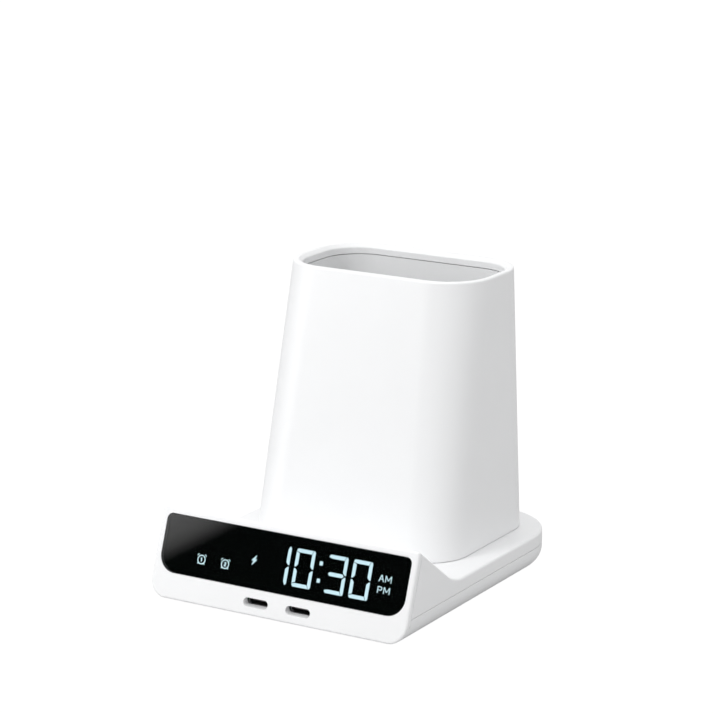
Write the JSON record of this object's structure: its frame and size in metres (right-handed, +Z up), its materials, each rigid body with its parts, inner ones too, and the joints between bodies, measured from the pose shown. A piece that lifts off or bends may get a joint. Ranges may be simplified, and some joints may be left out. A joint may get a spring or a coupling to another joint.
{
  "type": "wireless charger pen holder",
  "caption": "Desk stand with a leaning wireless charging wall on a drafted pen cup, and a clock in the lip of its base that keeps a phone in place.",
  "frame": {"origin": "on the desk, under the middle of the whole object's box", "axes": "+Z up, -Y is the front with the clock, +X to the right as seen from the front"},
  "size_m": [0.104, 0.1198, 0.1104],
  "materials": {
    "white_shell": "satin white moulding",
    "smoked_window": "polished smoked acrylic",
    "lit_film": "diffusing film, lit icy white",
    "white_inner": "unpolished white moulding",
    "circuit_board": "green solder mask",
    "screw_steel": "zinc plated",
    "socket_steel": "nickel plated",
    "black_moulding": "black moulding",
    "foot_rubber": "matte grey rubber",
    "button_grey": "satin light grey moulding",
    "copper_litz": "enamelled copper litz",
    "ferrite": "dark sintered ferrite",
    "capacitor_can": "plain can",
    "cable_jacket": "light grey jacket"
  },
  "bodies": {
    "holder": {"front_panel": "white_shell", "clock_window": "smoked_window", "segment_film": "lit_film", "light_box": "white_inner", "display_board": "circuit_board", "display_screw_1": "screw_steel", "display_screw_2": "screw_steel", "bottom_cover": "white_shell", "base_housing": "white_shell", "case_screw_1": "screw_steel", "case_screw_2": "screw_steel", "case_screw_3": "screw_steel", "case_screw_4": "screw_steel", "rubber_foot_front_left": "foot_rubber", "rubber_foot_front_right": "foot_rubber", "rubber_foot_rear_left": "foot_rubber", "rubber_foot_rear_right": "foot_rubber", "main_board": "circuit_board", "main_board_screw_1": "screw_steel", "main_board_screw_2": "screw_steel", "rear_board": "circuit_board", "rear_board_screw_1": "screw_steel", "rear_board_screw_2": "screw_steel", "output_socket_left_shell": "socket_steel", "output_socket_left_tongue": "black_moulding", "output_socket_right_shell": "socket_steel", "output_socket_right_tongue": "black_moulding", "inlet_socket_shell": "socket_steel", "inlet_socket_tongue": "black_moulding", "power_inductor": "ferrite", "control_chip": "black_moulding", "front_capacitor": "capacitor_can", "rear_capacitor": "capacitor_can", "alarm_buzzer": "black_moulding", "main_connector": "white_inner", "rear_connector": "white_inner", "link_cable": "cable_jacket", "mode_switch": "black_moulding", "down_switch": "black_moulding", "up_switch": "black_moulding", "stand_shell": "white_shell", "cup_liner": "white_shell", "stand_screw_1": "screw_steel", "stand_screw_2": "screw_steel", "stand_screw_3": "screw_steel", "stand_screw_4": "screw_steel", "charging_coil": "copper_litz", "ferrite_sheet": "ferrite", "coil_holder": "black_moulding", "coil_screw_1": "screw_steel", "coil_screw_2": "screw_steel", "coil_screw_3": "screw_steel", "coil_screw_4": "screw_steel", "coil_lead_left": "cable_jacket", "coil_lead_right": "cable_jacket"},
    "mode_button": {"mode_button": "button_grey"},
    "down_button": {"down_button": "button_grey"},
    "up_button": {"up_button": "button_grey"}
  },
  "joints": [
    {"name": "mode_press", "type": "slide", "parent": "holder", "child": "mode_button", "axis": [0, -1, 0], "range_m": [0, 0.0006], "stiffness_N_per_m": 500},
    {"name": "down_press", "type": "slide", "parent": "holder", "child": "down_button", "axis": [0, -1, 0], "range_m": [0, 0.0006], "stiffness_N_per_m": 500},
    {"name": "up_press", "type": "slide", "parent": "holder", "child": "up_button", "axis": [0, -1, 0], "range_m": [0, 0.0006], "stiffness_N_per_m": 500}
  ]
}
